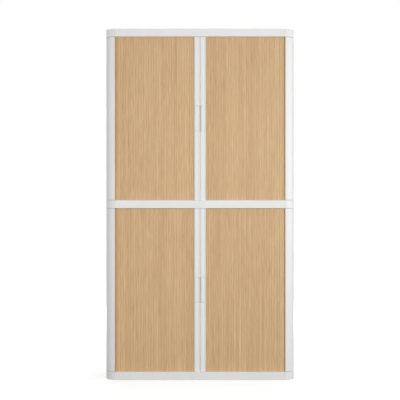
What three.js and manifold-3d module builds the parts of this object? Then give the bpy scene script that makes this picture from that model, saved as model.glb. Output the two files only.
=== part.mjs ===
// A tall two-tier cabinet with sliding tambour doors, in millimetres.
// +Z is up, the front faces -Y, and the origin is on the floor at the centre of the base.

import * as THREE from 'three';
import { mergeGeometries, mergeVertices } from 'three/addons/utils/BufferGeometryUtils.js';
import Module from 'manifold-3d';

const wasm = await Module();
wasm.setup();

// Driving sizes of the frame
const cabinetWidth = 1100;
const cabinetDepth = 415;
const cabinetHeight = 2040;
const deckHeight = 46;
const postWidth = 54.5;
const cornerRadius = 88;
const postFlat = 2.5;
const shellWall = 12;

// Clearances
const seamGap = 0.3;
const shelfPlay = 0.5;
const runningGap = 0.5;
const overrun = 1;

// Decks: moulded trays with ribs below a flat skin
const deckSkin = 8;
const deckEdgeSpare = 22.5;
const deckRib = 5;
const cellColumns = 6;
const cellRows = 2;

// Front rails: hollow bars that close the front of each deck
const railWall = 3;

// Pegs that locate the posts on the corner blocks
const pegSide = 6;
const pegHeight = 14;
const pegTipGap = 0.5;
const pegPlaceShare = 0.3;

// The curtains' way round: its centre line lies this far inside the outer face
const pathInset = 22;
const postClearance = 1.5;
const trackHeight = 12;
const trackOuterHalf = 6.5;
const trackInnerHalf = 7.5;
const trackEndWall = 3;
const grooveDepth = 10;
const tailRoom = 3;

// Curtains: upright slats with a thin flexible hinge between them
const slatPitch = 14.8;
const slatThickness = 6;
const slatFrontBevel = 1.2;
const slatTaperSpare = 0.23;
const hingeFront = 0.8;
const hingeBack = -0.4;
const tongueReach = 1.8;
const tongueHalf = 0.6;
const tonguePlay = 0.4;
const curtainTail = 50;

// Leading stiles
const meetingGap = 0.5;
const stileWidth = 32.5;
const stileDepth = 20;
const stileInset = 8;
const stileEndGap = 0.9;
const stileBevel = 1;
const runnerThickness = 8;
const runnerInset = 4;
const parkGap = 2.75;

// Handle plates and the finger slot between a pair
const handleLength = 146;
const handleDepth = 14;
const handleProud = 0.8;
const handleMargin = 4.25;
const fingerSlotHalf = 6;
const fingerSlotFlare = 5;
const fingerSlotDepth = 10;

// Outer panels
const sidePanelThickness = 6;
const backPanelThickness = 4;
const panelInset = 2;

// Pocket liners and inner backs, which keep stored things off the curtains
const linerStandoff = 2.7;
const linerThickness = 5;
const linerSetback = 17;
const innerBackStandoff = 3.7;
const innerBackThickness = 4;

// Shelves and the ledges on the liners that carry them
const shelvesPerTier = 2;
const shelfHeight = 22;
const shelfSkin = 4;
const shelfRim = 4;
const shelfRib = 3;
const ledgeEndInset = 22;
const ledgeReach = 10;
const ledgeHeight = 10;

// How finely round stretches are cut
const cornerSteps = 8;
const trackSteps = 8;

// Places worked out from the sizes above
const halfWidth = cabinetWidth / 2;
const halfDepth = cabinetDepth / 2;
const deckLevels = 3;
const tierCount = 2;
const tierHeight = (cabinetHeight - deckLevels * deckHeight) / tierCount;
const quarter = Math.PI / 2;

// The outer face of a corner leaves the front at a crease and turns until it is flush with the side.
const creaseAngle = Math.asin((cornerRadius - postWidth) / cornerRadius);
const cornerX = halfWidth - cornerRadius;
const cornerY = halfDepth - cornerRadius * Math.cos(creaseAngle);
const postEndY = cornerY - postFlat;
const bayHalfX = halfWidth - postWidth - seamGap;
const bayHalfY = postEndY - seamGap;

// The curtains' bend is the tightest one that clears the posts.
const bendReach = cornerRadius - shellWall - postClearance - slatThickness / 2;
const bendSpanX = cornerRadius - pathInset;
const bendSpanY = halfDepth - cornerY - pathInset;
const bendRadius = bendSpanX + bendSpanY - bendReach
  - Math.sqrt(2 * (bendReach - bendSpanX) * (bendReach - bendSpanY));
const bendX = halfWidth - pathInset - bendRadius;
const bendY = halfDepth - pathInset - bendRadius;
const pathY = halfDepth - pathInset;
const grooveHalf = Math.max(runnerThickness, slatThickness) / 2 + runningGap;
const pocketInner = pathInset + trackInnerHalf + seamGap;
const pocketDepth = trackHeight + seamGap;

const stileNearX = meetingGap / 2;
const stileFarX = stileNearX + stileWidth;
const stileFrontY = -(halfDepth - stileInset);
const curtainStartX = stileFarX + tonguePlay;
const frontRun = bendX - curtainStartX;
const slatCount = Math.round((frontRun + curtainTail) / slatPitch);
const travel = halfWidth - postWidth - parkGap - stileFarX;
const roundTheSide = quarter * bendRadius + bendY + bendY + quarter * bendRadius;
const backRun = slatCount * slatPitch + travel - frontRun - roundTheSide;
const trackEndX = bendX - Math.max(backRun, 0) - tailRoom - trackEndWall;

const linerInset = pocketInner + linerStandoff;
const linerInnerX = halfWidth - linerInset - linerThickness;
const linerFrontY = stileFrontY + stileDepth + linerSetback;
const innerBackY = halfDepth - pocketInner - innerBackStandoff - innerBackThickness;
const deckEdgeZone = linerInset + linerThickness + deckEdgeSpare;
const shelfPitch = (tierHeight - shelvesPerTier * shelfHeight) / (shelvesPerTier + 1) + shelfHeight;
const shelfUndersides = Array.from(
  { length: shelvesPerTier }, (_, i) => (i + 1) * shelfPitch - shelfHeight);

const white = { color: 0xe6e6e4, roughness: 0.45, metalness: 0 };
const softWhite = { color: 0xdcdcda, roughness: 0.55, metalness: 0 };
const lightOak = { color: 0xcbab82, roughness: 0.5, metalness: 0 };
const paleGrey = { color: 0xc9cbcc, roughness: 0.6, metalness: 0 };

// Solids and geometry

function solidOf(geometry) {
  const bare = geometry.clone();
  bare.deleteAttribute('normal');
  bare.deleteAttribute('uv');
  const merged = mergeVertices(bare);
  return new wasm.Manifold(new wasm.Mesh({
    numProp: 3,
    vertProperties: merged.attributes.position.array,
    triVerts: new Uint32Array(merged.index.array),
  }));
}

function geometryOf(solid) {
  const mesh = solid.getMesh();
  const geometry = new THREE.BufferGeometry();
  geometry.setAttribute('position', new THREE.BufferAttribute(mesh.vertProperties, mesh.numProp));
  geometry.setIndex(new THREE.BufferAttribute(mesh.triVerts, 1));
  const flat = geometry.toNonIndexed();
  flat.computeVertexNormals();
  return flat;
}

function arc(centreX, centreY, radius, fromAngle, toAngle, steps) {
  return Array.from({ length: steps + 1 }, (_, i) => {
    const angle = fromAngle + (toAngle - fromAngle) * i / steps;
    return [centreX + radius * Math.cos(angle), centreY + radius * Math.sin(angle)];
  });
}

function between(a, b) {
  return [Math.min(a, b), Math.max(a, b)];
}

// A plan outline drawn up from one height to another.
function upright(outline, low, high) {
  const shape = new THREE.Shape(outline.map(([x, y]) => new THREE.Vector2(x, y)));
  const geometry = new THREE.ExtrudeGeometry(shape, { depth: high - low, bevelEnabled: false });
  return geometry.translate(0, 0, low);
}

function block([lowX, highX], [lowY, highY], [lowZ, highZ]) {
  const geometry = new THREE.BoxGeometry(highX - lowX, highY - lowY, highZ - lowZ);
  return geometry.translate((lowX + highX) / 2, (lowY + highY) / 2, (lowZ + highZ) / 2);
}

function cut(geometry, cutters) {
  const whole = solidOf(geometry);
  const rest = cutters.reduce((solid, cutter) => solid.subtract(solidOf(cutter)), whole);
  return geometryOf(rest);
}

function joined(geometries) {
  const [first, ...others] = geometries.map(solidOf);
  return geometryOf(others.reduce((solid, other) => solid.add(other), first));
}

// The cells under a ribbed tray, as one cutter: a grid of boxes with ribs left between them.
function cells(halfX, [lowY, highY], rib, [lowZ, highZ]) {
  const stepX = (halfX + halfX - rib * (cellColumns - 1)) / cellColumns;
  const stepY = (highY - lowY - rib * (cellRows - 1)) / cellRows;
  const boxes = [];
  for (let column = 0; column < cellColumns; column++) {
    for (let row = 0; row < cellRows; row++) {
      const x = -halfX + column * (stepX + rib);
      const y = lowY + row * (stepY + rib);
      boxes.push(block([x, x + stepX], [y, y + stepY], [lowZ, highZ]));
    }
  }
  return mergeGeometries(boxes);
}

function named(name, geometry, finish) {
  const mesh = new THREE.Mesh(geometry, new THREE.MeshStandardMaterial(finish));
  mesh.name = name;
  return mesh;
}

const corners = ['front_right', 'rear_right', 'rear_left', 'front_left'].map((name) => ({
  name,
  sideX: name.endsWith('right') ? 1 : -1,
  sideY: name.startsWith('rear') ? 1 : -1,
}));

// The curtains' way: from the back, round one side, along the front and round the other side

function wayRound(radius, endX) {
  return [
    [endX, bendY + radius],
    ...arc(bendX, bendY, radius, quarter, 0, trackSteps),
    ...arc(bendX, -bendY, radius, 0, -quarter, trackSteps),
    ...arc(-bendX, -bendY, radius, -quarter, -quarter - quarter, trackSteps),
    ...arc(-bendX, bendY, radius, quarter + quarter, quarter, trackSteps),
    [-endX, bendY + radius],
  ];
}

function band(outward, inward, endX) {
  return [...wayRound(bendRadius + outward, endX), ...wayRound(bendRadius - inward, endX).reverse()];
}

// The recesses that hold the guide tracks in a deck and its corner blocks.
function trackPockets({ opensUp, opensDown }) {
  const plan = band(trackOuterHalf + seamGap, trackInnerHalf + seamGap, trackEndX - seamGap);
  const pockets = [];
  if (opensUp) pockets.push(upright(plan, deckHeight - pocketDepth, deckHeight + overrun));
  if (opensDown) pockets.push(upright(plan, -overrun, pocketDepth));
  return pockets;
}

// Corner posts and corner blocks, drawn at the rear right and mirrored to the other corners

function mirrored(plan, corner) {
  return plan.map(([x, y]) => [corner.sideX * x, corner.sideY * y]);
}

const faceTurn = quarter - creaseAngle;
const pegTurn = faceTurn * pegPlaceShare;
const pegX = cornerX + (cornerRadius - shellWall / 2) * Math.cos(pegTurn);
const pegY = cornerY + (cornerRadius - shellWall / 2) * Math.sin(pegTurn);

function pegAt(corner, side, low, high) {
  const span = [-side / 2, side / 2];
  return block(span, span, [low, high]).translate(corner.sideX * pegX, corner.sideY * pegY, 0);
}

function cornerPost(corner) {
  const innerRadius = cornerRadius - shellWall;
  const innerTurn = Math.acos((halfWidth - postWidth - cornerX) / innerRadius);
  const plan = [
    [halfWidth, postEndY],
    ...arc(cornerX, cornerY, cornerRadius, 0, faceTurn, cornerSteps),
    ...arc(cornerX, cornerY, innerRadius, innerTurn, 0, cornerSteps),
    [halfWidth - shellWall, postEndY],
  ];
  const height = tierHeight - seamGap - seamGap;
  const hole = pegSide + seamGap + seamGap;
  const holeDepth = pegHeight + pegTipGap;
  return cut(upright(mirrored(plan, corner), 0, height), [
    pegAt(corner, hole, -overrun, holeDepth),
    pegAt(corner, hole, height - holeDepth, height + overrun),
  ]);
}

function cornerBlock(corner, level) {
  const plan = [
    [halfWidth - postWidth, postEndY],
    [halfWidth, postEndY],
    ...arc(cornerX, cornerY, cornerRadius, 0, faceTurn, cornerSteps),
  ];
  const pegs = [];
  if (level.opensUp) pegs.push(pegAt(corner, pegSide, deckHeight - overrun, deckHeight + pegHeight));
  if (level.opensDown) pegs.push(pegAt(corner, pegSide, -pegHeight, overrun));
  return joined([cut(upright(mirrored(plan, corner), 0, deckHeight), trackPockets(level)), ...pegs]);
}

// Decks and front rails

function deck(level) {
  const frontY = -(halfDepth - shellWall - seamGap);
  const plan = [
    [-bayHalfX, frontY], [bayHalfX, frontY], [bayHalfX, -bayHalfY], [halfWidth, -bayHalfY],
    [halfWidth, bayHalfY], [bayHalfX, bayHalfY], [bayHalfX, halfDepth], [-bayHalfX, halfDepth],
    [-bayHalfX, bayHalfY], [-halfWidth, bayHalfY], [-halfWidth, -bayHalfY], [-bayHalfX, -bayHalfY],
  ];
  const cellHalfY = halfDepth - deckEdgeZone;
  const cutters = [
    cells(halfWidth - deckEdgeZone, [-cellHalfY, cellHalfY], deckRib, [-overrun, deckHeight - deckSkin]),
    ...trackPockets(level),
  ];
  return cut(upright(plan, 0, deckHeight), cutters);
}

// A hollow bar along X, drawn as its section in Y and Z.
function frontRail() {
  const section = new THREE.Shape([
    new THREE.Vector2(-halfDepth, 0),
    new THREE.Vector2(-halfDepth + shellWall, 0),
    new THREE.Vector2(-halfDepth + shellWall, deckHeight),
    new THREE.Vector2(-halfDepth, deckHeight),
  ]);
  section.holes.push(new THREE.Path([
    new THREE.Vector2(-halfDepth + railWall, railWall),
    new THREE.Vector2(-halfDepth + railWall, deckHeight - railWall),
    new THREE.Vector2(-halfDepth + shellWall - railWall, deckHeight - railWall),
    new THREE.Vector2(-halfDepth + shellWall - railWall, railWall),
  ]));
  const bar = new THREE.ExtrudeGeometry(section, { depth: bayHalfX + bayHalfX, bevelEnabled: false });
  bar.translate(0, 0, -bayHalfX);
  const alongX = new THREE.Matrix4().makeBasis(
    new THREE.Vector3(0, 1, 0), new THREE.Vector3(0, 0, 1), new THREE.Vector3(1, 0, 0));
  return bar.applyMatrix4(alongX);
}

// Guide tracks: channels that open upwards, with their top at height 0

function guideTrack() {
  const body = upright(band(trackOuterHalf, trackInnerHalf, trackEndX), -trackHeight, 0);
  const groove = band(grooveHalf, grooveHalf, trackEndX + trackEndWall);
  return cut(body, [upright(groove, -grooveDepth, overrun)]);
}

// Curtains

const runnerHalfHeight = tierHeight / 2 + grooveDepth - seamGap;

// The point on the right curtain's centre line this far from the stile.
function onTheWay(distance) {
  if (distance <= frontRun) return [curtainStartX + distance, -pathY];
  const angle = (distance - frontRun) / bendRadius;
  if (angle <= quarter) {
    return [bendX + bendRadius * Math.sin(angle), -bendY - bendRadius * Math.cos(angle)];
  }
  return [bendX + bendRadius, distance - frontRun - quarter * bendRadius - bendY];
}

// The curtain's plan: each slat is straight, and they meet at the hinges, a pitch apart on the way.
function curtainPlan() {
  const hinges = Array.from({ length: slatCount + 1 }, (_, i) => new THREE.Vector2(...onTheWay(i * slatPitch)));
  const alongs = hinges.slice(1).map((hinge, i) => hinge.clone().sub(hinges[i]).normalize());
  const outwards = alongs.map((along) => new THREE.Vector2(along.y, -along.x));
  const point = (i, slat, u, v) => hinges[i].clone()
    .addScaledVector(alongs[slat], u)
    .addScaledVector(outwards[slat], v)
    .toArray();
  const half = slatThickness / 2;
  const bendHalfAngle = Math.asin(slatPitch / 2 / bendRadius);
  const slatBackTaper = half * Math.tan(bendHalfAngle) + slatTaperSpare;
  const front = [point(0, 0, -tongueReach, tongueHalf), point(0, 0, 0, tongueHalf)];
  const back = [point(0, 0, -tongueReach, -tongueHalf), point(0, 0, 0, -tongueHalf)];
  for (let i = 0; i < slatCount; i++) {
    const last = i === slatCount - 1;
    front.push(point(i, i, slatFrontBevel, half));
    front.push(point(i + 1, i, -slatFrontBevel, half));
    back.push(point(i, i, slatBackTaper, -half));
    back.push(point(i + 1, i, -slatBackTaper, -half));
    if (last) continue;
    const between = outwards[i].clone().add(outwards[i + 1]).normalize();
    front.push(hinges[i + 1].clone().addScaledVector(between, hingeFront).toArray());
    back.push(hinges[i + 1].clone().addScaledVector(between, hingeBack).toArray());
  }
  return [...front, ...back.reverse()];
}

// Leading stiles and handle plates

const handleFarX = stileFarX - handleMargin;

// The slot in the far edge takes the curtain's tongue.
function leadStile() {
  const backY = stileFrontY + stileDepth;
  const slotHalf = tongueHalf + seamGap;
  const plan = [
    [stileNearX, backY],
    [stileNearX, stileFrontY + stileBevel],
    [stileNearX + stileBevel, stileFrontY],
    [stileFarX - stileBevel, stileFrontY],
    [stileFarX, stileFrontY + stileBevel],
    [stileFarX, -pathY - slotHalf],
    [stileFarX - tongueReach, -pathY - slotHalf],
    [stileFarX - tongueReach, -pathY + slotHalf],
    [stileFarX, -pathY + slotHalf],
    [stileFarX, backY],
  ];
  const bodyHalf = tierHeight / 2 - stileEndGap;
  const body = upright(plan, -bodyHalf, bodyHalf);
  const runner = block(
    [stileNearX + runnerInset, stileFarX - runnerInset],
    [-pathY - runnerThickness / 2, -pathY + runnerThickness / 2],
    [-runnerHalfHeight, runnerHalfHeight]);
  const notchHalf = handleLength / 2 + seamGap;
  const notch = block(
    [stileNearX - overrun, handleFarX + seamGap],
    [stileFrontY - overrun, stileFrontY + handleDepth],
    [-notchHalf, notchHalf]);
  return cut(joined([body, runner]), [notch]);
}

// The plate carries its half of the slot's floor, and its lip slants back, so fingers can hook behind it.
function handlePlate() {
  const frontY = stileFrontY - handleProud;
  const backY = stileFrontY + handleDepth - seamGap;
  const floorY = frontY + fingerSlotDepth;
  const plan = [
    [fingerSlotHalf, frontY],
    [handleFarX, frontY],
    [handleFarX, backY],
    [stileNearX, backY],
    [stileNearX, floorY],
    [fingerSlotHalf + fingerSlotFlare, floorY],
  ];
  return upright(plan, -handleLength / 2, handleLength / 2);
}

// Panels and liners

function sidePanel(side) {
  const outer = halfWidth - panelInset;
  const spanX = between(side * outer, side * (outer - sidePanelThickness));
  return block(spanX, [-bayHalfY, bayHalfY], [seamGap, tierHeight - seamGap]);
}

function backPanel() {
  const outer = halfDepth - panelInset;
  return block(
    [-bayHalfX, bayHalfX], [outer - backPanelThickness, outer], [seamGap, tierHeight - seamGap]);
}

// A flat inner wall with a moulded ledge for the end of each shelf.
function pocketLiner(side) {
  const wall = block(
    between(side * linerInnerX, side * (linerInnerX + linerThickness)),
    [linerFrontY, innerBackY - seamGap],
    [seamGap, tierHeight - seamGap]);
  const ledgeX = between(side * (linerInnerX - ledgeReach), side * (linerInnerX + overrun));
  const ledgeY = [linerFrontY + ledgeEndInset, innerBackY - ledgeEndInset];
  const ledges = shelfUndersides.map(
    (z) => block(ledgeX, ledgeY, [z - seamGap - ledgeHeight, z - seamGap]));
  return joined([wall, ...ledges]);
}

function innerBack() {
  const halfX = linerInnerX + linerThickness - seamGap;
  return block(
    [-halfX, halfX], [innerBackY, innerBackY + innerBackThickness], [seamGap, tierHeight - seamGap]);
}

// Shelves: ribbed trays between the liners

function shelf() {
  const halfX = linerInnerX - shelfPlay;
  const rearY = innerBackY - shelfPlay;
  return cut(block([-halfX, halfX], [linerFrontY, rearY], [0, shelfHeight]), [
    cells(halfX - shelfRim, [linerFrontY + shelfRim, rearY - shelfRim], shelfRib,
      [-overrun, shelfHeight - shelfSkin]),
  ]);
}

// The assembly

const cabinet = new THREE.Group();

const levels = [
  { name: 'bottom', z: 0, opensUp: true, opensDown: false },
  { name: 'middle', z: deckHeight + tierHeight, opensUp: true, opensDown: true },
  { name: 'top', z: cabinetHeight - deckHeight, opensUp: false, opensDown: true },
];

for (const level of levels) {
  const group = new THREE.Group();
  group.position.z = level.z;
  group.add(named(`deck_${level.name}`, deck(level), white));
  group.add(named(`front_rail_${level.name}`, frontRail(), white));
  for (const corner of corners) {
    group.add(named(`corner_block_${level.name}_${corner.name}`, cornerBlock(corner, level), white));
  }
  cabinet.add(group);
}

const trackShape = guideTrack();
const curtainShape = upright(curtainPlan(), -runnerHalfHeight, runnerHalfHeight);
const stileShape = leadStile();
const handleShape = handlePlate();
const shelfShape = shelf();

// A piece drawn for the right-hand door, or the same piece turned over for the left-hand one.
function doorPiece(name, side, geometry, finish) {
  const mesh = named(`${name}_${side}`, geometry, finish);
  mesh.position.z = tierHeight / 2;
  mesh.rotation.y = side === 'right' ? 0 : Math.PI;
  return mesh;
}

function tier(name) {
  const group = new THREE.Group();
  for (const corner of corners) {
    const post = named(`corner_post_${name}_${corner.name}`, cornerPost(corner), white);
    post.position.z = seamGap;
    group.add(post);
  }
  group.add(named(`back_panel_${name}`, backPanel(), softWhite));
  group.add(named(`inner_back_${name}`, innerBack(), softWhite));
  group.add(named(`guide_track_${name}_floor`, trackShape, paleGrey));
  const ceilingTrack = named(`guide_track_${name}_ceiling`, trackShape, paleGrey);
  ceilingTrack.position.z = tierHeight;
  ceilingTrack.rotation.y = Math.PI;
  group.add(ceilingTrack);
  for (const [side, sign] of [['left', -1], ['right', 1]]) {
    group.add(named(`side_panel_${name}_${side}`, sidePanel(sign), softWhite));
    group.add(named(`pocket_liner_${name}_${side}`, pocketLiner(sign), softWhite));
    group.add(doorPiece(`curtain_${name}`, side, curtainShape, lightOak));
    group.add(doorPiece(`lead_stile_${name}`, side, stileShape, white));
    group.add(doorPiece(`handle_plate_${name}`, side, handleShape, white));
  }
  shelfUndersides.forEach((z, i) => {
    const piece = named(`shelf_${name}_${i + 1}`, shelfShape, softWhite);
    piece.position.z = z;
    group.add(piece);
  });
  return group;
}

['lower', 'upper'].forEach((name, i) => {
  const group = tier(name);
  group.position.z = levels[i].z + deckHeight;
  cabinet.add(group);
});

export default cabinet;
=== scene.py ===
"""A tall two-tier cabinet with sliding tambour curtains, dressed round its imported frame.

Everything is in metres. Z is up and the curtains face -Y.
"""

import math

import bmesh
import bpy
from mathutils import Matrix, Vector


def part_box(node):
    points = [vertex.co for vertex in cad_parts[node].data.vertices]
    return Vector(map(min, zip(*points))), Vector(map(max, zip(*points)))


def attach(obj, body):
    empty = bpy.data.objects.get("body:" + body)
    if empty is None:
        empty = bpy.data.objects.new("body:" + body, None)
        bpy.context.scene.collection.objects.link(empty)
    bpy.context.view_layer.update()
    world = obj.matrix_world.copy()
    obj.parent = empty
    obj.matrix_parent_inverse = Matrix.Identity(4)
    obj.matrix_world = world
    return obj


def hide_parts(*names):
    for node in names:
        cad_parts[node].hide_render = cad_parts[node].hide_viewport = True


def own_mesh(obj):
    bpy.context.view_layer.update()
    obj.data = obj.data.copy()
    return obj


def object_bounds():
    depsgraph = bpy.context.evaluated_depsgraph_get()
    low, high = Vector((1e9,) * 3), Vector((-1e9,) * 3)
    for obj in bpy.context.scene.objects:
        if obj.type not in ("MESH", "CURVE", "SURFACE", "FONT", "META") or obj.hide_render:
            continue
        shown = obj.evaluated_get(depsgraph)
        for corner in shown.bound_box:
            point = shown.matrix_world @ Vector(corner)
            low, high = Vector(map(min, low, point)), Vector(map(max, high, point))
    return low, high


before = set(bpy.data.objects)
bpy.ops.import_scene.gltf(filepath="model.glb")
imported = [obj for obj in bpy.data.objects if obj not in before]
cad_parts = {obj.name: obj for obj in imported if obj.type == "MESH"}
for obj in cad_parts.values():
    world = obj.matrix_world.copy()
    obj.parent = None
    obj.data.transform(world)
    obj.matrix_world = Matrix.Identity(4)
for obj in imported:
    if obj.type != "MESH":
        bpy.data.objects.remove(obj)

cad_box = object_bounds()
scene = bpy.context.scene
MM = 0.001
QUARTER_TURN = math.pi / 2

# How the cabinet is laid out
LEVELS = ("bottom", "middle", "top")
TIERS = ("lower", "upper")
SIDES = ("left", "right")
CORNERS = ("front_left", "front_right", "rear_left", "rear_right")
SHELVES = (1, 2)
CARCASS = "carcass"

# Corners and tracks: sizes that the frame's boxes don't give
CORNER_RADIUS = 88 * MM
SHELL_WALL = 12 * MM
POST_CLEARANCE = 1.5 * MM
PATH_INSET = 22 * MM
TRACK_HEIGHT = 12 * MM
TRACK_OUTER_HALF = 6.5 * MM
TRACK_INNER_HALF = 7.5 * MM
TRACK_END_X = 388.3 * MM
TRACK_PLAY = 0.3 * MM
GROOVE_HALF = 4.5 * MM
GROOVE_DEPTH = 10 * MM

# Slats: front faces slightly crowned, hooked together behind
SLAT_COUNT = 34
SLATS_ON_THE_FRONT = 32
SLAT_PITCH = 14.8 * MM
SLAT_HALF_THICKNESS = 3 * MM
SLAT_GAP = 0.22 * MM
SLAT_CROWN = 0.3 * MM
SLAT_CROWN_SHARES = (0.17, 0.28, 0.39, 0.5, 0.61, 0.72, 0.83)
SLAT_EDGE_ROUND = 1.3 * MM
SLAT_EDGE_STEPS = 3
# How far in from each slat's edge the foil carries painted shade
SLAT_EDGE_SHADE = 1.2 * MM
SLAT_BACK_TAPER = 1.1 * MM
TONGUE_REACH = 1.2 * MM
TONGUE_HALF = 0.6 * MM
SLOT_DEPTH = 1.5 * MM
SLOT_HALF = 1.1 * MM
FIRST_SLAT_GAP = 0.4 * MM

# Leading stiles and handle plates
STILE_END_GAP = 0.9 * MM
STILE_SLOT_HALF = 0.9 * MM
STILE_SLOT_DEPTH = 1.8 * MM
RUNNER_REACH = 9.7 * MM
RUNNER_INSET = 4 * MM
RUNNER_HALF = 4 * MM
HANDLE_SEAM = 0.3 * MM
HANDLE_END_SEAM = 0.5 * MM
FINGER_SLOT_HALF = 6 * MM
FINGER_SLOT_FLARE = 5 * MM
FINGER_SLOT_DEPTH = 10 * MM

# Roundings, seams and how finely the meshes are made
CORNER_STEPS = 28
FRAME_EDGE = 0.9 * MM
CORNER_EDGE = 2.2 * MM
POST_SEAM = 0.8 * MM
PANEL_EDGE = 0.7 * MM
TRACK_EDGE = 0.4 * MM
STILE_EDGE = 1.1 * MM
STILE_MEETING_ROUND = 2.4 * MM
STILE_MEETING_SEAM = 0.35 * MM
HANDLE_EDGE = 0.8 * MM
SLOT_MOUTH_ROUND = 1.8 * MM
MEETING_STEPS = 5
EDGE_STEPS = 3
SHARP_ANGLE = math.radians(32)
MERGE_DISTANCE = 0.005 * MM
OVERRUN = 2 * MM

# Plastic: how its flow marks stretch along X, Y and Z and how they show, and how much painted shade darkens a
# pull's recess
FLOW_MARKS = (0.09, 0.09, 0.16)
FLOW_SHADE = 0.972
FLOW_DARK_END = 0.34
FLOW_PALE_END = 0.66
PLASTIC_BUMP = 0.6
PLASTIC_SPECULAR = 0.4
# Painted shade: how dark a pull's finger slot gets between these two depths, standing in for its shadow
RECESS_PAINTED_SHADE = 0.89
RECESS_MOUTH_Y = -198.5 * MM
RECESS_FLOOR_Y = -190.5 * MM

# Wood foil: how its bands, streaks and fibres stretch along a slat's X, Y and Z, and what each adds
BAND_SIZE = (3.0 * MM, 1.0, 0.5)
STREAK_SIZE = (2.0 * MM, 1.0, 0.09)
FIBRE_SIZE = (0.5 * MM, 1.0, 0.025)
BAND_WEIGHT = 0.3
STREAK_WEIGHT = 0.46
FIBRE_WEIGHT = 0.2
SLAT_TONE_WEIGHT = 0.024
FOIL_TONES = (
    (0.38, (184, 150, 109)), (0.48, (204, 171, 128)), (0.55, (216, 184, 140)), (0.66, (228, 200, 159)),
)
# Painted shade: the colour that each slat's edges darken to, standing in for the shade in the joints between
# slats
FOIL_PAINTED_JOINT_SHADE = (197, 164, 122)
FOIL_ROUGHNESS = (0.5, 0.4)
FOIL_RELIEF = 0.05 * MM
FOIL_BUMP = 0.5
FOIL_SPECULAR = 0.35
GRAIN_SHIFT = (7.0, 0.0, 7.0)

# The part of 0 to 1 that noise keeps to
NOISE_LOW = 0.3
NOISE_HIGH = 0.7

# Sockets whose names several kinds of value share, so that they go by number
MIX_FIRST_COLOUR = 6
MIX_SECOND_COLOUR = 7
MIX_COLOUR = 2
RANDOM_LOWEST_NUMBER = 2
RANDOM_HIGHEST_NUMBER = 3
RANDOM_NUMBER = 1


# Node trees

def add_node(tree, kind, links=None, **settings):
    """Adds a node, makes its settings and joins or fills its inputs."""
    node = tree.nodes.new(kind)
    for name, value in settings.items():
        setattr(node, name, value)
    for key, value in (links or {}).items():
        if isinstance(value, bpy.types.NodeSocket):
            tree.links.new(value, node.inputs[key])
        else:
            node.inputs[key].default_value = value
    return node


def maths(tree, operation, first, second=0.0):
    return add_node(tree, "ShaderNodeMath", {0: first, 1: second}, operation=operation).outputs[0]


def weighted_sum(tree, terms):
    """Adds up (value, weight) terms."""
    total = 0.0
    for value, weight in terms:
        total = maths(tree, "ADD", maths(tree, "MULTIPLY", value, weight), total)
    return total


def linear(*channels):
    """A colour as seen on a screen, 0 to 255, made linear."""
    shares = [channel / 255 for channel in channels]
    return tuple(s / 12.92 if s <= 0.04045 else ((s + 0.055) / 1.055) ** 2.4 for s in shares) + (1.0,)


def ramp(tree, factor, stops):
    """A colour ramp through (place, colour) stops."""
    node = add_node(tree, "ShaderNodeValToRGB", {"Fac": factor})
    elements = node.color_ramp.elements
    while len(elements) < len(stops):
        elements.new(0.5)
    for element, (place, colour) in zip(elements, stops):
        element.position = place
        element.color = colour
    return node.outputs["Color"]


def stretched_noise(tree, place, size, detail, roughness=0.5):
    """Noise whose features have this size along X, Y and Z."""
    scale = tuple(1 / length for length in size)
    mapped = add_node(tree, "ShaderNodeMapping", {"Vector": place, "Scale": scale}, vector_type="POINT")
    return add_node(tree, "ShaderNodeTexNoise", {
        "Vector": mapped.outputs["Vector"], "Scale": 1.0, "Detail": detail, "Roughness": roughness,
    }).outputs["Fac"]


def spread(tree, value, low, high):
    """Takes noise, which keeps to the middle of 0 to 1, to the whole range low to high."""
    return add_node(tree, "ShaderNodeMapRange", {
        "Value": value, "From Min": NOISE_LOW, "From Max": NOISE_HIGH, "To Min": low, "To Max": high,
    }).outputs["Result"]


# Finishes

def new_finish(name):
    material = bpy.data.materials.new(name)
    material.use_nodes = True
    tree = material.node_tree
    return material, tree, tree.nodes["Principled BSDF"]


def moulded_plastic(name, colour, roughness, pebble, relief, recess=None):
    """Satin plastic with a fine pebbled grain, faint flow marks and a slightly uneven gloss.

    Between the two depths of a recess it gets gradually darker: painted shade standing in for the shadow
    inside the recess.
    """
    material, tree, shader = new_finish(name)
    place = add_node(tree, "ShaderNodeTexCoord").outputs["Object"]
    flow = stretched_noise(tree, place, FLOW_MARKS, detail=3.0)
    grain = stretched_noise(tree, place, (pebble, pebble, pebble), detail=2.0, roughness=0.6)
    darker = tuple(channel * FLOW_SHADE for channel in colour[:3]) + (1.0,)
    base = ramp(tree, flow, [(FLOW_DARK_END, darker), (FLOW_PALE_END, colour)])
    if recess:
        # Painted shade: the colour darkens deeper in the recess, where its shadow falls
        y = add_node(tree, "ShaderNodeSeparateXYZ", {"Vector": place}).outputs["Y"]
        painted_recess_darkening = add_node(tree, "ShaderNodeMapRange", {
            "Value": y, "From Min": recess[0], "From Max": recess[1], "To Min": 1.0, "To Max": RECESS_PAINTED_SHADE,
        }).outputs["Result"]
        base = add_node(tree, "ShaderNodeVectorMath", {0: base, "Scale": painted_recess_darkening}, operation="SCALE").outputs[0]
    tree.links.new(base, shader.inputs["Base Color"])
    tree.links.new(spread(tree, flow, *roughness), shader.inputs["Roughness"])
    bump = add_node(tree, "ShaderNodeBump", {"Height": grain, "Distance": relief, "Strength": PLASTIC_BUMP})
    tree.links.new(bump.outputs["Normal"], shader.inputs["Normal"])
    shader.inputs["Specular IOR Level"].default_value = PLASTIC_SPECULAR
    return material


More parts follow.
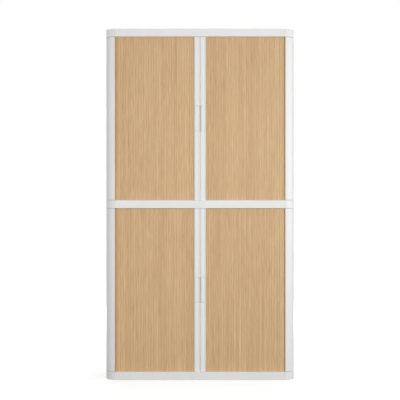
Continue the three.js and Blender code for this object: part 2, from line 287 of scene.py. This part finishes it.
def wood_foil(name):
    """Light wood-look foil. The grain runs up each slat and starts at its own place on each."""
    material, tree, shader = new_finish(name)
    on_slat = add_node(tree, "ShaderNodeAttribute", attribute_name="slat_place").outputs["Vector"]
    shift = add_node(tree, "ShaderNodeAttribute", attribute_name="slat_shift").outputs["Vector"]
    tone = add_node(tree, "ShaderNodeAttribute", attribute_name="slat_tone").outputs["Fac"]
    place = add_node(tree, "ShaderNodeVectorMath", {0: on_slat, 1: shift}, operation="ADD").outputs[0]
    bands = stretched_noise(tree, place, BAND_SIZE, detail=2.0)
    streaks = stretched_noise(tree, place, STREAK_SIZE, detail=3.0, roughness=0.6)
    fibres = stretched_noise(tree, place, FIBRE_SIZE, detail=3.0, roughness=0.6)
    figure = weighted_sum(tree, [
        (bands, BAND_WEIGHT), (streaks, STREAK_WEIGHT), (fibres, FIBRE_WEIGHT), (tone, SLAT_TONE_WEIGHT),
    ])
    colour = ramp(tree, figure, [(share, linear(*seen)) for share, seen in FOIL_TONES])
    # Painted shade: the foil darkens towards each slat's edges, standing in for the shade in the joints
    # between slats
    across = add_node(tree, "ShaderNodeSeparateXYZ", {"Vector": on_slat}).outputs["X"]
    off_centre = maths(tree, "ABSOLUTE", maths(tree, "SUBTRACT", across, SLAT_PITCH / 2))
    inward = maths(tree, "SUBTRACT", SLAT_PITCH / 2, off_centre)
    edge = add_node(tree, "ShaderNodeMapRange", {
        "Value": inward, "From Min": SLAT_GAP / 2, "From Max": SLAT_EDGE_SHADE, "To Min": 1.0, "To Max": 0.0,
    }, interpolation_type="SMOOTHSTEP").outputs["Result"]
    painted_joint_shade = add_node(tree, "ShaderNodeMix", {
        "Factor": edge, MIX_FIRST_COLOUR: colour, MIX_SECOND_COLOUR: linear(*FOIL_PAINTED_JOINT_SHADE),
    }, data_type="RGBA", blend_type="MIX")
    tree.links.new(painted_joint_shade.outputs[MIX_COLOUR], shader.inputs["Base Color"])
    tree.links.new(spread(tree, fibres, *FOIL_ROUGHNESS), shader.inputs["Roughness"])
    bump = add_node(tree, "ShaderNodeBump", {
        "Height": fibres, "Distance": FOIL_RELIEF, "Strength": FOIL_BUMP})
    tree.links.new(bump.outputs["Normal"], shader.inputs["Normal"])
    shader.inputs["Specular IOR Level"].default_value = FOIL_SPECULAR
    return material


SATIN_WHITE = {
    "colour": linear(228, 228, 227), "roughness": (0.36, 0.5), "pebble": 0.9 * MM, "relief": 0.03 * MM,
}
OFF_WHITE = {
    "colour": linear(226, 226, 224), "roughness": (0.45, 0.6), "pebble": 0.6 * MM, "relief": 0.05 * MM,
}
PALE_GREY = {
    "colour": linear(206, 208, 209), "roughness": (0.3, 0.42), "pebble": 1.5 * MM, "relief": 0.01 * MM,
}
WHITE = moulded_plastic("satin_white_moulding", **SATIN_WHITE)
PULL = moulded_plastic("satin_white_pull", **SATIN_WHITE, recess=(RECESS_MOUTH_Y, RECESS_FLOOR_Y))
PANEL = moulded_plastic("off_white_panel", **OFF_WHITE)
TRACK = moulded_plastic("pale_grey_sliding_plastic", **PALE_GREY)
FOIL = wood_foil("light_wood_foil")


# Meshes

def arc(radius, start, end, steps):
    angles = [start + (end - start) * i / steps for i in range(steps + 1)]
    return [(radius * math.cos(a), radius * math.sin(a)) for a in angles]


def link(name, mesh):
    item = bpy.data.objects.new(name, mesh)
    scene.collection.objects.link(item)
    return item


def upright(outline, low, high):
    """A closed mesh with this plan, standing from one height to another."""
    shape = bmesh.new()
    rings = [[shape.verts.new((x, y, z)) for x, y in outline] for z in (low, high)]
    for ring in rings:
        shape.faces.new(ring)
    for i, corner in enumerate(rings[0]):
        following = (i + 1) % len(outline)
        shape.faces.new((corner, rings[0][following], rings[1][following], rings[1][i]))
    bmesh.ops.recalc_face_normals(shape, faces=shape.faces)
    mesh = bpy.data.meshes.new("upright")
    shape.to_mesh(mesh)
    shape.free()
    return mesh


def half_turn_about(z):
    """Turns a right-hand piece over into the left-hand one, or a floor piece into a ceiling one."""
    return Matrix.Translation((0, 0, 2 * z)) @ Matrix.Diagonal((-1, 1, -1, 1))


def join_doubles(mesh):
    shape = bmesh.new()
    shape.from_mesh(mesh)
    bmesh.ops.remove_doubles(shape, verts=shape.verts, dist=MERGE_DISTANCE)
    shape.to_mesh(mesh)
    shape.free()


def settle(item):
    """Makes what a piece's modifiers give its plain mesh."""
    graph = bpy.context.evaluated_depsgraph_get()
    mesh = bpy.data.meshes.new_from_object(
        item.evaluated_get(graph), preserve_all_data_layers=True, depsgraph=graph)
    item.modifiers.clear()
    item.data = mesh
    return item


def carve(item, mesh, operation="DIFFERENCE"):
    """Cuts another closed mesh out of a piece, or joins it on."""
    tool = link("carving_tool", mesh)
    cut = item.modifiers.new("carve", "BOOLEAN")
    cut.operation = operation
    cut.solver = "EXACT"
    cut.object = tool
    settle(item)
    bpy.data.objects.remove(tool)


def soften(item, width):
    """Rounds the sharp edges of a piece, within its own box, and evens out its shading."""
    reach = [[corner[axis] for corner in item.bound_box] for axis in range(3)]
    item.data.shade_smooth()
    edge = item.modifiers.new("edge", "BEVEL")
    edge.width = width
    edge.segments = EDGE_STEPS
    edge.limit_method = "ANGLE"
    edge.angle_limit = SHARP_ANGLE
    settle(item)
    for vertex in item.data.vertices:
        vertex.co = [min(max(place, min(ends)), max(ends)) for place, ends in zip(vertex.co, reach)]
    join_doubles(item.data)
    item.data.set_sharp_from_angle(angle=SHARP_ANGLE)
    even = item.modifiers.new("even", "WEIGHTED_NORMAL")
    even.keep_sharp = True
    settle(item)


def finish_piece(item, finish, nodes, body=CARCASS):
    """Gives a piece its finish and its body, and lets it stand for its CAD nodes."""
    item.data.materials.clear()
    item.data.materials.append(finish)
    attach(item, body)
    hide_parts(*nodes)
    return item


# Frame mouldings, panels, liners and shelves that keep the CAD shape, with rounded edges

def merged_copy(node, name):
    """A CAD node's own shape as one joined-up mesh."""
    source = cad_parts[node].data
    mesh = bpy.data.meshes.new(name)
    mesh.from_pydata([v.co for v in source.vertices], [], [list(p.vertices) for p in source.polygons])
    join_doubles(mesh)
    return link(name, mesh)


def soft_edged(node, kind, finish, width):
    item = merged_copy(node, f"{node}_{kind}")
    soften(item, width)
    finish_piece(item, finish, [node])


for level in LEVELS:
    soft_edged(f"deck_{level}", "tray", WHITE, FRAME_EDGE)
    soft_edged(f"front_rail_{level}", "bar", WHITE, FRAME_EDGE)

for tier in TIERS:
    soft_edged(f"back_panel_{tier}", "sheet", PANEL, PANEL_EDGE)
    soft_edged(f"inner_back_{tier}", "sheet", PANEL, PANEL_EDGE)
    for side in SIDES:
        soft_edged(f"side_panel_{tier}_{side}", "sheet", PANEL, PANEL_EDGE)
        soft_edged(f"pocket_liner_{tier}_{side}", "wall", PANEL, PANEL_EDGE)
    for number in SHELVES:
        soft_edged(f"shelf_{tier}_{number}", "tray", PANEL, PANEL_EDGE)


# The corners: their outer face leaves the front at a crease and turns until it is flush with the side

HALF_WIDTH = cad_box[1].x
HALF_DEPTH = cad_box[1].y
POST_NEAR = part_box("corner_post_upper_rear_right")[0]
CORNER_X = HALF_WIDTH - CORNER_RADIUS
FACE_TURN = math.acos((POST_NEAR.x - CORNER_X) / CORNER_RADIUS)
CORNER_Y = HALF_DEPTH - CORNER_RADIUS * math.sin(FACE_TURN)

# The curtains' way round, whose bend is the tightest one that clears the posts
BEND_REACH = CORNER_RADIUS - SHELL_WALL - POST_CLEARANCE - SLAT_HALF_THICKNESS
BEND_SPAN_X = CORNER_RADIUS - PATH_INSET
BEND_SPAN_Y = HALF_DEPTH - CORNER_Y - PATH_INSET
BEND_RADIUS = BEND_SPAN_X + BEND_SPAN_Y - BEND_REACH - math.sqrt(
    2 * (BEND_REACH - BEND_SPAN_X) * (BEND_REACH - BEND_SPAN_Y))
PATH_X = HALF_WIDTH - PATH_INSET
PATH_Y = HALF_DEPTH - PATH_INSET
BEND_X = PATH_X - BEND_RADIUS
BEND_Y = PATH_Y - BEND_RADIUS


def way_round(radius, end_x):
    """The plan of the way from one back end round the front to the other."""
    bends = [
        (BEND_X, BEND_Y, QUARTER_TURN), (BEND_X, -BEND_Y, 0),
        (-BEND_X, -BEND_Y, -QUARTER_TURN), (-BEND_X, BEND_Y, -2 * QUARTER_TURN),
    ]
    points = [(end_x, BEND_Y + radius)]
    for x, y, start in bends:
        turned = arc(radius, start, start - QUARTER_TURN, CORNER_STEPS)
        points += [(x + dx, y + dy) for dx, dy in turned]
    return points + [(-end_x, BEND_Y + radius)]


def track_pocket():
    """The plan of the recess that a guide track lies in."""
    end_x = TRACK_END_X - TRACK_PLAY
    outer = way_round(BEND_RADIUS + TRACK_OUTER_HALF + TRACK_PLAY, end_x)
    inner = way_round(BEND_RADIUS - TRACK_INNER_HALF - TRACK_PLAY, end_x)
    return outer + inner[::-1]


# Corner posts and corner blocks, drawn at the rear right and mirrored to the other corners

def corner_arc(radius, start, end):
    return [(CORNER_X + dx, CORNER_Y + dy) for dx, dy in arc(radius, start, end, CORNER_STEPS)]


def mirrored(plan, corner):
    side_x = 1 if corner.endswith("right") else -1
    side_y = 1 if corner.startswith("rear") else -1
    return [(side_x * x, side_y * y) for x, y in plan]


def corner_post(tier, corner):
    """A curved shell whose ends stand a fine seam away from the blocks."""
    node = f"corner_post_{tier}_{corner}"
    low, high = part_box(node)
    inner = CORNER_RADIUS - SHELL_WALL
    plan = [
        (HALF_WIDTH, POST_NEAR.y), *corner_arc(CORNER_RADIUS, 0, FACE_TURN),
        *corner_arc(inner, math.acos((POST_NEAR.x - CORNER_X) / inner), 0),
        (HALF_WIDTH - SHELL_WALL, POST_NEAR.y),
    ]
    item = link(f"{node}_shell", upright(mirrored(plan, corner), low.z + POST_SEAM, high.z - POST_SEAM))
    soften(item, CORNER_EDGE)
    finish_piece(item, WHITE, [node])


def corner_block(level, corner):
    """A solid block with the guide tracks' recess in each face that meets a tier."""
    node = f"corner_block_{level}_{corner}"
    low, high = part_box(f"deck_{level}")
    plan = [
        (POST_NEAR.x, POST_NEAR.y), (HALF_WIDTH, POST_NEAR.y), *corner_arc(CORNER_RADIUS, 0, FACE_TURN),
    ]
    item = link(f"{node}_cap", upright(mirrored(plan, corner), low.z, high.z))
    depth = TRACK_HEIGHT + TRACK_PLAY
    if level != "top":
        carve(item, upright(track_pocket(), high.z - depth, high.z + OVERRUN))
    if level != "bottom":
        carve(item, upright(track_pocket(), low.z - OVERRUN, low.z + depth))
    soften(item, CORNER_EDGE)
    finish_piece(item, WHITE, [node])


for corner in CORNERS:
    for tier in TIERS:
        corner_post(tier, corner)
    for level in LEVELS:
        corner_block(level, corner)


# Geometry node trees

def new_geometry_tree(name, sockets):
    """A tree with these (name, kind) inputs, and the sockets that its modifier's inputs go to."""
    tree = bpy.data.node_groups.new(name, "GeometryNodeTree")
    tree.interface.new_socket("Geometry", in_out="INPUT", socket_type="NodeSocketGeometry")
    for label, kind in sockets:
        tree.interface.new_socket(label, in_out="INPUT", socket_type=f"NodeSocket{kind}")
    tree.interface.new_socket("Geometry", in_out="OUTPUT", socket_type="NodeSocketGeometry")
    return tree, add_node(tree, "NodeGroupInput").outputs


def end_tree(tree, inputs, geometry):
    realized = add_node(tree, "GeometryNodeRealizeInstances", {"Geometry": geometry}).outputs["Geometry"]
    dressed = add_node(tree, "GeometryNodeSetMaterial", {
        "Geometry": realized, "Material": inputs["Material"],
    }).outputs["Geometry"]
    add_node(tree, "NodeGroupOutput", {"Geometry": dressed})
    return tree


def grow(item, tree, **values):
    """Runs a tree on a piece with these inputs and keeps the result as its plain mesh."""
    modifier = item.modifiers.new("grow", "NODES")
    modifier.node_group = tree
    for socket in tree.interface.items_tree:
        key = socket.name.lower().replace(" ", "_")
        if socket.in_out == "INPUT" and key in values:
            modifier[socket.identifier] = values[key]
    return settle(item)


def hinge_place(tree, inputs, distance):
    """The point of the curtain's way this far from its start: straight, then round the corner."""
    straight = maths(tree, "MINIMUM", distance, inputs["Straight Run"])
    beyond = maths(tree, "MAXIMUM", maths(tree, "SUBTRACT", distance, inputs["Straight Run"]), 0.0)
    angle = maths(tree, "DIVIDE", beyond, inputs["Bend Radius"])
    forward = maths(tree, "MULTIPLY", maths(tree, "SINE", angle), inputs["Bend Radius"])
    lifted = maths(tree, "SUBTRACT", 1.0, maths(tree, "COSINE", angle))
    inward = maths(tree, "MULTIPLY", lifted, inputs["Bend Radius"])
    x = maths(tree, "ADD", maths(tree, "ADD", inputs["Start X"], straight), forward)
    y = maths(tree, "ADD", inputs["Path Y"], inward)
    return add_node(tree, "ShaderNodeCombineXYZ", {"X": x, "Y": y}).outputs["Vector"]


def store(tree, geometry, domain, kind, name, value):
    return add_node(tree, "GeometryNodeStoreNamedAttribute", {
        "Geometry": geometry, "Name": name, "Value": value,
    }, domain=domain, data_type=kind).outputs["Geometry"]


def slats_tree():
    """Sets copies of one slat along the curtain's way, each turned to face out.

    Each point keeps its slat's place before the move, and each copy gets its own stretch and tone of grain.
    """
    tree, inputs = new_geometry_tree("slats_along_the_way", [
        ("First Slat", "Int"), ("Slat Count", "Int"), ("Slat Pitch", "Float"),
        ("Straight Run", "Float"), ("Bend Radius", "Float"), ("Start X", "Float"),
        ("Path Y", "Float"), ("Grain Seed", "Int"), ("Material", "Material"),
    ])
    line = add_node(tree, "GeometryNodeMeshLine", {"Count": inputs["Slat Count"]}, mode="OFFSET")
    number = maths(tree, "ADD", add_node(tree, "GeometryNodeInputIndex").outputs[0], inputs["First Slat"])
    begin = maths(tree, "MULTIPLY", number, inputs["Slat Pitch"])
    near = hinge_place(tree, inputs, begin)
    far = hinge_place(tree, inputs, maths(tree, "ADD", begin, inputs["Slat Pitch"]))
    along = add_node(tree, "ShaderNodeVectorMath", {0: far, 1: near}, operation="SUBTRACT").outputs[0]
    placed = add_node(tree, "GeometryNodeSetPosition", {
        "Geometry": line.outputs["Mesh"], "Position": near}).outputs["Geometry"]
    facing = add_node(tree, "FunctionNodeAlignRotationToVector", {"Vector": along}, axis="X", pivot_axis="Z")
    turned = store(tree, placed, "POINT", "QUATERNION", "facing", facing.outputs["Rotation"])
    slat = store(tree, inputs["Geometry"], "POINT", "FLOAT_VECTOR", "slat_place",
                 add_node(tree, "GeometryNodeInputPosition").outputs[0])
    stored = add_node(tree, "GeometryNodeInputNamedAttribute", {"Name": "facing"}, data_type="QUATERNION")
    copies = add_node(tree, "GeometryNodeInstanceOnPoints", {
        "Points": turned, "Instance": slat, "Rotation": stored.outputs["Attribute"],
    }).outputs["Instances"]
    shift = add_node(tree, "FunctionNodeRandomValue", {
        "Min": (0.0, 0.0, 0.0), "Max": GRAIN_SHIFT, "Seed": inputs["Grain Seed"],
    }, data_type="FLOAT_VECTOR")
    tone = add_node(tree, "FunctionNodeRandomValue", {
        RANDOM_LOWEST_NUMBER: -1.0, RANDOM_HIGHEST_NUMBER: 1.0,
        "Seed": maths(tree, "ADD", inputs["Grain Seed"], 1.0),
    }, data_type="FLOAT")
    copies = store(tree, copies, "INSTANCE", "FLOAT_VECTOR", "slat_shift", shift.outputs["Value"])
    copies = store(tree, copies, "INSTANCE", "FLOAT", "slat_tone", tone.outputs[RANDOM_NUMBER])
    return end_tree(tree, inputs, copies)


def channel_tree():
    """Sweeps a track's section along its way round the cabinet."""
    tree, inputs = new_geometry_tree("channel_along_the_way", [
        ("Section", "Object"), ("Material", "Material"),
    ])
    way = add_node(tree, "GeometryNodeMeshToCurve", {"Mesh": inputs["Geometry"]}).outputs["Curve"]
    way = add_node(tree, "GeometryNodeSetCurveNormal", {"Curve": way}, mode="Z_UP").outputs["Curve"]
    drawn = add_node(tree, "GeometryNodeObjectInfo", {"Object": inputs["Section"]}).outputs["Geometry"]
    section = add_node(tree, "GeometryNodeMeshToCurve", {"Mesh": drawn}).outputs["Curve"]
    swept = add_node(tree, "GeometryNodeCurveToMesh", {
        "Curve": way, "Profile Curve": section, "Fill Caps": True}).outputs["Mesh"]
    return end_tree(tree, inputs, swept)


SLATS_TREE = slats_tree()
CHANNEL_TREE = channel_tree()


# Curtains

def slat_section():
    """One slat's plan from hinge to hinge, outwards being -Y: a tongue first and a slot last."""
    near, far = SLAT_GAP / 2, SLAT_PITCH - SLAT_GAP / 2
    edge_y = -(SLAT_HALF_THICKNESS - SLAT_CROWN)
    round_near = [
        (near + SLAT_EDGE_ROUND - x, edge_y + SLAT_EDGE_ROUND - y)
        for x, y in arc(SLAT_EDGE_ROUND, 0, QUARTER_TURN, SLAT_EDGE_STEPS)
    ]
    round_far = [(SLAT_PITCH - x, y) for x, y in reversed(round_near)]
    crown = [
        (SLAT_PITCH * share, edge_y - SLAT_CROWN * (1 - (2 * share - 1) ** 2)) for share in SLAT_CROWN_SHARES
    ]
    back = SLAT_HALF_THICKNESS
    return [
        (near, -TONGUE_HALF), *round_near, *crown, *round_far,
        (far, -SLOT_HALF), (far - SLOT_DEPTH, -SLOT_HALF), (far - SLOT_DEPTH, SLOT_HALF), (far, SLOT_HALF),
        (SLAT_PITCH - SLAT_BACK_TAPER, back), (SLAT_BACK_TAPER, back),
        (near, TONGUE_HALF), (-TONGUE_REACH, TONGUE_HALF), (-TONGUE_REACH, -TONGUE_HALF),
    ]


def curtain_start(tier):
    """Where a right-hand curtain's first slat begins, beside its stile."""
    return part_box(f"lead_stile_{tier}_right")[1].x + FIRST_SLAT_GAP


def slats(tier, side, kind, first, count):
    """Some of a curtain's slats as one piece, drawn on the right and turned over for the left."""
    node = f"curtain_{tier}_{side}"
    low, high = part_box(node)
    start = curtain_start(tier)
    item = link(f"{node}_{kind}", upright(slat_section(), low.z, high.z))
    grow(
        item, SLATS_TREE, first_slat=first, slat_count=count, slat_pitch=SLAT_PITCH,
        straight_run=BEND_X - start, bend_radius=BEND_RADIUS, start_x=start, path_y=-PATH_Y, material=FOIL,
        grain_seed=first + 10 * TIERS.index(tier) + 20 * SIDES.index(side))
    if side == "left":
        item.data.transform(half_turn_about((low.z + high.z) / 2))
    item.data.set_sharp_from_angle(angle=SHARP_ANGLE)
    return finish_piece(item, FOIL, [node])


def curtain(tier, side):
    """The slats on the front make one piece, with a mesh of its own; those on the corner make another."""
    front = slats(tier, side, "slats", 0, SLATS_ON_THE_FRONT)
    slats(tier, side, "corner_slats", SLATS_ON_THE_FRONT, SLAT_COUNT - SLATS_ON_THE_FRONT)
    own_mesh(front)


for tier in TIERS:
    for side in SIDES:
        curtain(tier, side)


# Guide tracks

def channel_section():
    """The channel's section, drawn as it is swept: -X is outwards, -Y is up, and the lips are at 0."""
    section = [
        (-TRACK_INNER_HALF, -TRACK_HEIGHT), (TRACK_OUTER_HALF, -TRACK_HEIGHT), (TRACK_OUTER_HALF, 0),
        (GROOVE_HALF, 0), (GROOVE_HALF, -GROOVE_DEPTH), (-GROOVE_HALF, -GROOVE_DEPTH), (-GROOVE_HALF, 0),
        (-TRACK_INNER_HALF, 0),
    ]
    return [(-x, -y) for x, y in section]


def line_mesh(points, closed):
    edges = [(i, i + 1) for i in range(len(points) - 1)]
    if closed:
        edges.append((len(points) - 1, 0))
    mesh = bpy.data.meshes.new("line")
    mesh.from_pydata([(x, y, 0) for x, y in points], edges, [])
    return mesh


def guide_track(tier, end):
    node = f"guide_track_{tier}_{end}"
    low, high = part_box(node)
    section = link("section", line_mesh(channel_section(), True))
    item = link(f"{node}_channel", line_mesh(way_round(BEND_RADIUS, TRACK_END_X), False))
    grow(item, CHANNEL_TREE, section=section, material=TRACK)
    bpy.data.objects.remove(section)
    if end == "floor":
        item.data.transform(Matrix.Translation((0, 0, high.z)))
    else:
        item.data.transform(half_turn_about(low.z / 2))
    soften(item, TRACK_EDGE)
    finish_piece(item, TRACK, [node])


for tier in TIERS:
    for end in ("floor", "ceiling"):
        guide_track(tier, end)


# Leading stiles and handle plates, drawn on the right and turned over for the left

def rounded_corner(corner, radius):
    """A plan's near front corner, which would be at this point, rounded."""
    centre_x, centre_y = corner.x + radius, corner.y + radius
    turned = arc(radius, -2 * QUARTER_TURN, -QUARTER_TURN, MEETING_STEPS)
    return [(centre_x + dx, centre_y + dy) for dx, dy in turned]


def rectangle(near_x, far_x, near_y, far_y):
    return [(near_x, near_y), (far_x, near_y), (far_x, far_y), (near_x, far_y)]


def stile(tier, side):
    """A bar with a slot for the first slat's tongue, runners at its ends and a notch for its handle plate."""
    node = f"lead_stile_{tier}_{side}"
    low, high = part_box(f"lead_stile_{tier}_right")
    handle_low, handle_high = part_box(f"handle_plate_{tier}_right")
    near_x = low.x + STILE_MEETING_SEAM
    slot_x = high.x - STILE_SLOT_DEPTH
    plan = [
        *rounded_corner(Vector((near_x, low.y)), STILE_MEETING_ROUND),
        (high.x, low.y), (high.x, -PATH_Y - STILE_SLOT_HALF), (slot_x, -PATH_Y - STILE_SLOT_HALF),
        (slot_x, -PATH_Y + STILE_SLOT_HALF), (high.x, -PATH_Y + STILE_SLOT_HALF),
        (high.x, high.y), (near_x, high.y),
    ]
    end = RUNNER_REACH + STILE_END_GAP
    item = link(f"{node}_bar", upright(plan, low.z + end, high.z - end))
    runner = rectangle(
        low.x + RUNNER_INSET, high.x - RUNNER_INSET, -PATH_Y - RUNNER_HALF, -PATH_Y + RUNNER_HALF)
    carve(item, upright(runner, low.z, high.z), "UNION")
    notch = rectangle(
        low.x - OVERRUN, handle_high.x + HANDLE_SEAM, low.y - OVERRUN, handle_high.y + HANDLE_SEAM)
    carve(item, upright(notch, handle_low.z - HANDLE_SEAM, handle_high.z + HANDLE_SEAM))
    soften(item, STILE_EDGE)
    if side == "left":
        item.data.transform(half_turn_about((low.z + high.z) / 2))
    finish_piece(item, WHITE, [node], f"door_{tier}_{side}")


def handle_plate(tier, side):
    """A plate whose lip slants back behind the face and which carries half of the finger slot's floor."""
    node = f"handle_plate_{tier}_{side}"
    low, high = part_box(f"handle_plate_{tier}_right")
    floor_y = low.y + FINGER_SLOT_DEPTH
    plan = [
        *rounded_corner(Vector((FINGER_SLOT_HALF, low.y)), SLOT_MOUTH_ROUND),
        (high.x, low.y), (high.x, high.y), (low.x, high.y),
        (low.x, floor_y), (FINGER_SLOT_HALF + FINGER_SLOT_FLARE, floor_y),
    ]
    item = link(f"{node}_pull", upright(plan, low.z + HANDLE_END_SEAM, high.z - HANDLE_END_SEAM))
    soften(item, HANDLE_EDGE)
    if side == "left":
        item.data.transform(half_turn_about((low.z + high.z) / 2))
    finish_piece(item, PULL, [node], f"door_{tier}_{side}")


for tier in TIERS:
    for side in SIDES:
        stile(tier, side)
        handle_plate(tier, side)


# Camera

FOCAL_LENGTH = 104.5
SENSOR_WIDTH = 36
CAMERA_DISTANCE = 6.74
CAMERA_HEIGHT = 1.0448
CAMERA_SIDE = -0.0004
LEVEL_VIEW = (QUARTER_TURN, 0, 0)


def camera():
    data = bpy.data.cameras.new("camera")
    data.lens = FOCAL_LENGTH
    data.sensor_width = SENSOR_WIDTH
    item = bpy.data.objects.new("camera", data)
    item.location = (CAMERA_SIDE, -(HALF_DEPTH + CAMERA_DISTANCE), CAMERA_HEIGHT)
    item.rotation_euler = LEVEL_VIEW
    scene.collection.objects.link(item)
    scene.camera = item


# Lamps: each one's name, place, the point it faces, its size, its watts and whether gloss mirrors it

LAMPS = (
    ("key_softbox", (2.1, -3.9, 1.6), (0, 0, 1.15), (1.2, 1.5), 68, True),
    ("front_softbox", (0, -4.45, 1.35), (0, 0, 1.15), (1.2, 1.0), 64, False),
    ("fill_softbox", (-3.6, -3.5, 1.05), (0, 0, 1.1), (1.0, 1.5), 40.5, True),
    ("right_softbox", (4.2, 0.1, 1.5), (0.5, 0, 1.5), (1.0, 2.2), 61, True),
    ("left_softbox", (-4.2, 0.15, 2.3), (-0.5, 0, 1.5), (1.0, 2.2), 25, True),
    ("top_softbox", (0, 0.2, 4.6), (0, 0.2, 2.0), (1.6, 1.2), 42, True),
    ("rear_right_softbox", (1.6, 4.4, 1.9), (0, 0, 1.1), (1.8, 2.4), 88, False),
    ("rear_left_softbox", (-1.6, 4.4, 1.9), (0, 0, 1.1), (1.8, 2.4), 88, False),
)


def lamp(name, place, aim, size, watts, mirrored_in_gloss):
    data = bpy.data.lights.new(name, "AREA")
    data.shape = "RECTANGLE"
    data.size, data.size_y = size
    data.energy = watts
    item = bpy.data.objects.new(name, data)
    item.location = place
    item.rotation_mode = "QUATERNION"
    item.rotation_quaternion = (Vector(aim) - Vector(place)).to_track_quat("-Z", "Y")
    item.visible_camera = False
    item.visible_glossy = mirrored_in_gloss
    scene.collection.objects.link(item)


# Backdrop and floor, white where they are seen and dim to the light that falls on the cabinet

WORLD_LIGHT = 0.35
FLOOR_HALF = 60.0
FLOOR_Z = -0.5 * MM
FLOOR_BOUNCE = 0.08
FLOOR_SHADE_SEEN = 0.35
FLOOR_GLOW_NEAR = 0.69
FLOOR_GLOW_FAR = 0.9
GLOW_NEAR_REACH = 1.2
GLOW_FAR_REACH = 3.5


def background_rays(tree):
    """1 for rays that should see the plain white background, else 0."""
    path = add_node(tree, "ShaderNodeLightPath").outputs
    seen = maths(tree, "MAXIMUM", path["Is Camera Ray"], path["Is Glossy Ray"])
    return maths(tree, "MAXIMUM", seen, path["Is Transmission Ray"])


def backdrop():
    world = bpy.data.worlds.new("studio")
    world.use_nodes = True
    scene.world = world
    tree = world.node_tree
    light = add_node(tree, "ShaderNodeMapRange", {
        "Value": background_rays(tree), "To Min": WORLD_LIGHT, "To Max": 1.0}).outputs["Result"]
    tree.links.new(light, tree.nodes["Background"].inputs["Strength"])
    tree.nodes["Background"].inputs["Color"].default_value = (1, 1, 1, 1)


def floor():
    """A floor that keeps the cabinet's shadow near it and fades to the white of the backdrop further out."""
    mesh = bpy.data.meshes.new("floor")
    outline = rectangle(-FLOOR_HALF, FLOOR_HALF, -FLOOR_HALF, FLOOR_HALF)
    mesh.from_pydata([(x, y, FLOOR_Z) for x, y in outline], [], [(0, 1, 2, 3)])
    material = bpy.data.materials.new("pale_floor")
    material.use_nodes = True
    tree = material.node_tree
    tree.nodes.clear()
    seen = background_rays(tree)
    tint = add_node(tree, "ShaderNodeMapRange", {
        "Value": seen, "To Min": FLOOR_BOUNCE, "To Max": FLOOR_SHADE_SEEN}).outputs["Result"]
    place = add_node(tree, "ShaderNodeTexCoord").outputs["Object"]
    away = add_node(tree, "ShaderNodeVectorMath", {0: place}, operation="LENGTH").outputs["Value"]
    white = add_node(tree, "ShaderNodeMapRange", {
        "Value": away, "From Min": GLOW_NEAR_REACH, "From Max": GLOW_FAR_REACH,
        "To Min": FLOOR_GLOW_NEAR, "To Max": FLOOR_GLOW_FAR,
    }, interpolation_type="SMOOTHSTEP").outputs["Result"]
    glow = maths(tree, "MULTIPLY", seen, white)
    lit = add_node(tree, "ShaderNodeBsdfDiffuse", {"Color": tint}).outputs[0]
    plain = add_node(tree, "ShaderNodeEmission", {"Color": (1, 1, 1, 1), "Strength": glow}).outputs[0]
    both = add_node(tree, "ShaderNodeAddShader", {0: lit, 1: plain}).outputs[0]
    add_node(tree, "ShaderNodeOutputMaterial", {"Surface": both})
    mesh.materials.append(material)
    link("floor", mesh)


camera()
for settings in LAMPS:
    lamp(*settings)
backdrop()
floor()
scene.view_settings.view_transform = "Standard"
